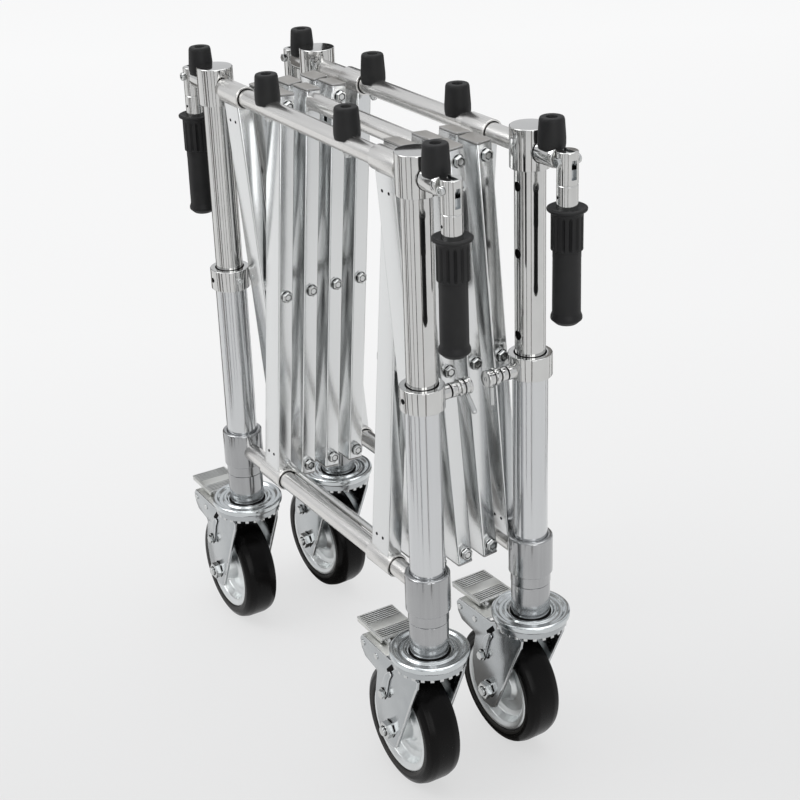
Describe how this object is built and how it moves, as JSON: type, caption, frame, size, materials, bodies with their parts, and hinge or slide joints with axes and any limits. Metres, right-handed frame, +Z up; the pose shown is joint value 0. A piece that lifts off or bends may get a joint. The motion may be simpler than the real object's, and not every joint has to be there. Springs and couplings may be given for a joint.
{
  "type": "folding coffin truck",
  "caption": "Folding coffin truck: two tubular end frames on braked swivel casters, joined by a scissor lattice, with rubber buffers and hinged side handles",
  "frame": {"origin": "on the floor, under the middle of the box round the folded truck, 21 mm left of the middle between the posts", "axes": "+X runs left to right along the crossbars, +Y from the front frame to the rear frame, +Z up"},
  "size_m": [0.6582, 0.238, 0.812],
  "materials": {
    "satin_aluminium": "satin, brushed lengthwise",
    "chrome": "bright plated",
    "zinc": "bright zinc plated",
    "tyre": "semi-gloss",
    "black_rubber": "matte"
  },
  "bodies": {
    "front_lower_frame": {"front_lower_tubes": "satin_aluminium", "front_sockets": "zinc", "front_collars": "chrome", "front_lower_bar": "satin_aluminium"},
    "rear_lower_frame": {"rear_lower_tubes": "satin_aluminium", "rear_sockets": "zinc", "rear_collars": "chrome", "rear_lower_bar": "satin_aluminium"},
    "front_upper_frame": {"front_upper_tubes": "chrome", "front_heads": "chrome", "front_upper_bar": "satin_aluminium", "front_buffers": "black_rubber"},
    "rear_upper_frame": {"rear_upper_tubes": "chrome", "rear_heads": "chrome", "rear_upper_bar": "satin_aluminium", "rear_buffers": "black_rubber"},
    "inner_arms_1": {"inner_arms_1": "satin_aluminium", "pivot_bolts_1": "zinc", "front_lower_sleeves": "zinc"},
    "inner_arms_2": {"inner_arms_2": "satin_aluminium", "pivot_bolts_2": "zinc"},
    "inner_arms_3": {"inner_arms_3": "satin_aluminium", "pivot_bolts_3": "zinc"},
    "inner_arms_4": {"inner_arms_4": "satin_aluminium", "pivot_bolts_4": "zinc", "rear_upper_sleeves": "zinc"},
    "outer_arms_1": {"outer_arms_1": "satin_aluminium", "front_upper_sleeves": "zinc"},
    "outer_arms_2": {"outer_arms_2": "satin_aluminium"},
    "outer_arms_3": {"outer_arms_3": "satin_aluminium"},
    "outer_arms_4": {"outer_arms_4": "satin_aluminium", "rear_lower_sleeves": "zinc"},
    "front_left_handle": {"front_left_handle_stem": "chrome", "front_left_grip": "black_rubber"},
    "front_left_plunger": {"front_left_plunger": "chrome"},
    "front_left_caster": {"front_left_fork": "zinc"},
    "front_left_wheel": {"front_left_rim": "zinc", "front_left_tyre": "tyre"},
    "front_left_brake_pedal": {"front_left_brake_pedal": "zinc"},
    "front_right_handle": {"front_right_handle_stem": "chrome", "front_right_grip": "black_rubber"},
    "front_right_plunger": {"front_right_plunger": "chrome"},
    "front_right_caster": {"front_right_fork": "zinc"},
    "front_right_wheel": {"front_right_rim": "zinc", "front_right_tyre": "tyre"},
    "front_right_brake_pedal": {"front_right_brake_pedal": "zinc"},
    "rear_left_handle": {"rear_left_handle_stem": "chrome", "rear_left_grip": "black_rubber"},
    "rear_left_plunger": {"rear_left_plunger": "chrome"},
    "rear_left_caster": {"rear_left_fork": "zinc"},
    "rear_left_wheel": {"rear_left_rim": "zinc", "rear_left_tyre": "tyre"},
    "rear_left_brake_pedal": {"rear_left_brake_pedal": "zinc"},
    "rear_right_handle": {"rear_right_handle_stem": "chrome", "rear_right_grip": "black_rubber"},
    "rear_right_plunger": {"rear_right_plunger": "chrome"},
    "rear_right_caster": {"rear_right_fork": "zinc"},
    "rear_right_wheel": {"rear_right_rim": "zinc", "rear_right_tyre": "tyre"},
    "rear_right_brake_pedal": {"rear_right_brake_pedal": "zinc"}
  },
  "joints": [
    {"name": "fold", "type": "hinge", "parent": "front_lower_frame", "child": "inner_arms_1", "pos_m": [0.02097, -0.0722, 0.277], "axis": [-1, 0, 0], "range_deg": [0, 51.1]},
    {"name": "top_pivot_1", "type": "hinge", "parent": "inner_arms_1", "child": "outer_arms_2", "pos_m": [0.02097, -0.03576, 0.762], "axis": [1, 0, 0], "range_deg": [0, 102.21]},
    {"name": "bottom_pivot_2", "type": "hinge", "parent": "outer_arms_2", "child": "inner_arms_3", "pos_m": [0.02097, 0, 0.286], "axis": [-1, 0, 0], "range_deg": [0, 102.21]},
    {"name": "top_pivot_3", "type": "hinge", "parent": "inner_arms_3", "child": "outer_arms_4", "pos_m": [0.02097, 0.03576, 0.762], "axis": [1, 0, 0], "range_deg": [0, 102.21]},
    {"name": "rear_lower_pivot", "type": "hinge", "parent": "outer_arms_4", "child": "rear_lower_frame", "pos_m": [0.02097, 0.0722, 0.277], "axis": [-1, 0, 0], "range_deg": [0, 51.11]},
    {"name": "middle_pivot_1", "type": "hinge", "parent": "inner_arms_1", "child": "outer_arms_1", "pos_m": [0.02097, -0.05364, 0.524], "axis": [1, 0, 0], "range_deg": [0, 102.21]},
    {"name": "middle_pivot_2", "type": "hinge", "parent": "outer_arms_2", "child": "inner_arms_2", "pos_m": [0.02097, -0.01788, 0.524], "axis": [-1, 0, 0], "range_deg": [0, 102.21]},
    {"name": "middle_pivot_3", "type": "hinge", "parent": "inner_arms_3", "child": "outer_arms_3", "pos_m": [0.02097, 0.01788, 0.524], "axis": [1, 0, 0], "range_deg": [0, 102.21]},
    {"name": "middle_pivot_4", "type": "hinge", "parent": "outer_arms_4", "child": "inner_arms_4", "pos_m": [0.02097, 0.05364, 0.524], "axis": [-1, 0, 0], "range_deg": [0, 102.21]},
    {"name": "front_upper_pivot", "type": "hinge", "parent": "outer_arms_1", "child": "front_upper_frame", "pos_m": [0.02097, -0.0722, 0.771], "axis": [-1, 0, 0], "range_deg": [0, 51.11]},
    {"name": "rear_upper_pivot", "type": "hinge", "parent": "inner_arms_4", "child": "rear_upper_frame", "pos_m": [0.02097, 0.0722, 0.771], "axis": [1, 0, 0], "range_deg": [0, 51.11]},
    {"name": "front_left_handle_swing", "type": "hinge", "parent": "front_upper_frame", "child": "front_left_handle", "pos_m": [-0.26543, -0.0722, 0.771], "axis": [0, 1, 0], "range_deg": [0, 90]},
    {"name": "front_left_plunger_pull", "type": "slide", "parent": "front_lower_frame", "child": "front_left_plunger", "axis": [0, 1, 0], "range_m": [0, 0.008], "stiffness_N_per_m": 900},
    {"name": "front_left_swivel", "type": "hinge", "parent": "front_lower_frame", "child": "front_left_caster", "pos_m": [-0.20143, -0.0722, 0.19], "axis": [0, 0, 1], "range_deg": [-18, 198]},
    {"name": "front_left_wheel_spin", "type": "hinge", "parent": "front_left_caster", "child": "front_left_wheel", "pos_m": [-0.24291, -0.07097, 0.075], "axis": [0.0297, 0.9996, 0], "continuous": true},
    {"name": "front_left_pedal_press", "type": "hinge", "parent": "front_left_caster", "child": "front_left_brake_pedal", "pos_m": [-0.2694, -0.07018, 0.162], "axis": [-0.0297, -0.9996, 0], "range_deg": [0, 8]},
    {"name": "front_right_handle_swing", "type": "hinge", "parent": "front_upper_frame", "child": "front_right_handle", "pos_m": [0.30737, -0.0722, 0.771], "axis": [0, -1, 0], "range_deg": [0, 90]},
    {"name": "front_right_plunger_pull", "type": "slide", "parent": "front_lower_frame", "child": "front_right_plunger", "axis": [0, 1, 0], "range_m": [0, 0.008], "stiffness_N_per_m": 900},
    {"name": "front_right_swivel", "type": "hinge", "parent": "front_lower_frame", "child": "front_right_caster", "pos_m": [0.24337, -0.0722, 0.19], "axis": [0, 0, 1], "range_deg": [-18, 198]},
    {"name": "front_right_wheel_spin", "type": "hinge", "parent": "front_right_caster", "child": "front_right_wheel", "pos_m": [0.20189, -0.07097, 0.075], "axis": [0.0297, 0.9996, 0], "continuous": true},
    {"name": "front_right_pedal_press", "type": "hinge", "parent": "front_right_caster", "child": "front_right_brake_pedal", "pos_m": [0.1754, -0.07018, 0.162], "axis": [-0.0297, -0.9996, 0], "range_deg": [0, 8]},
    {"name": "rear_left_handle_swing", "type": "hinge", "parent": "rear_upper_frame", "child": "rear_left_handle", "pos_m": [-0.26543, 0.0722, 0.771], "axis": [0, 1, 0], "range_deg": [0, 90]},
    {"name": "rear_left_plunger_pull", "type": "slide", "parent": "rear_lower_frame", "child": "rear_left_plunger", "axis": [0, -1, 0], "range_m": [0, 0.008], "stiffness_N_per_m": 900},
    {"name": "rear_left_swivel", "type": "hinge", "parent": "rear_lower_frame", "child": "rear_left_caster", "pos_m": [-0.20143, 0.0722, 0.19], "axis": [0, 0, -1], "range_deg": [-18, 198]},
    {"name": "rear_left_wheel_spin", "type": "hinge", "parent": "rear_left_caster", "child": "rear_left_wheel", "pos_m": [-0.24292, 0.0714, 0.075], "axis": [-0.0192, 0.9998, 0], "continuous": true},
    {"name": "rear_left_pedal_press", "type": "hinge", "parent": "rear_left_caster", "child": "rear_left_brake_pedal", "pos_m": [-0.26942, 0.07089, 0.162], "axis": [0.0192, -0.9998, 0], "range_deg": [0, 8]},
    {"name": "rear_right_handle_swing", "type": "hinge", "parent": "rear_upper_frame", "child": "rear_right_handle", "pos_m": [0.30737, 0.0722, 0.771], "axis": [0, -1, 0], "range_deg": [0, 90]},
    {"name": "rear_right_plunger_pull", "type": "slide", "parent": "rear_lower_frame", "child": "rear_right_plunger", "axis": [0, -1, 0], "range_m": [0, 0.008], "stiffness_N_per_m": 900},
    {"name": "rear_right_swivel", "type": "hinge", "parent": "rear_lower_frame", "child": "rear_right_caster", "pos_m": [0.24337, 0.0722, 0.19], "axis": [0, 0, -1], "range_deg": [-18, 198]},
    {"name": "rear_right_wheel_spin", "type": "hinge", "parent": "rear_right_caster", "child": "rear_right_wheel", "pos_m": [0.20188, 0.0714, 0.075], "axis": [-0.0192, 0.9998, 0], "continuous": true},
    {"name": "rear_right_pedal_press", "type": "hinge", "parent": "rear_right_caster", "child": "rear_right_brake_pedal", "pos_m": [0.17538, 0.07089, 0.162], "axis": [0.0192, -0.9998, 0], "range_deg": [0, 8]}
  ],
  "couplings": [
    {"joint": "top_pivot_1", "follows": "fold", "ratio": 2},
    {"joint": "bottom_pivot_2", "follows": "fold", "ratio": 2},
    {"joint": "top_pivot_3", "follows": "fold", "ratio": 2},
    {"joint": "rear_lower_pivot", "follows": "fold", "ratio": 1},
    {"joint": "middle_pivot_1", "follows": "fold", "ratio": 2},
    {"joint": "middle_pivot_2", "follows": "fold", "ratio": 2},
    {"joint": "middle_pivot_3", "follows": "fold", "ratio": 2},
    {"joint": "middle_pivot_4", "follows": "fold", "ratio": 2},
    {"joint": "front_upper_pivot", "follows": "fold", "ratio": 1},
    {"joint": "rear_upper_pivot", "follows": "fold", "ratio": 1}
  ]
}
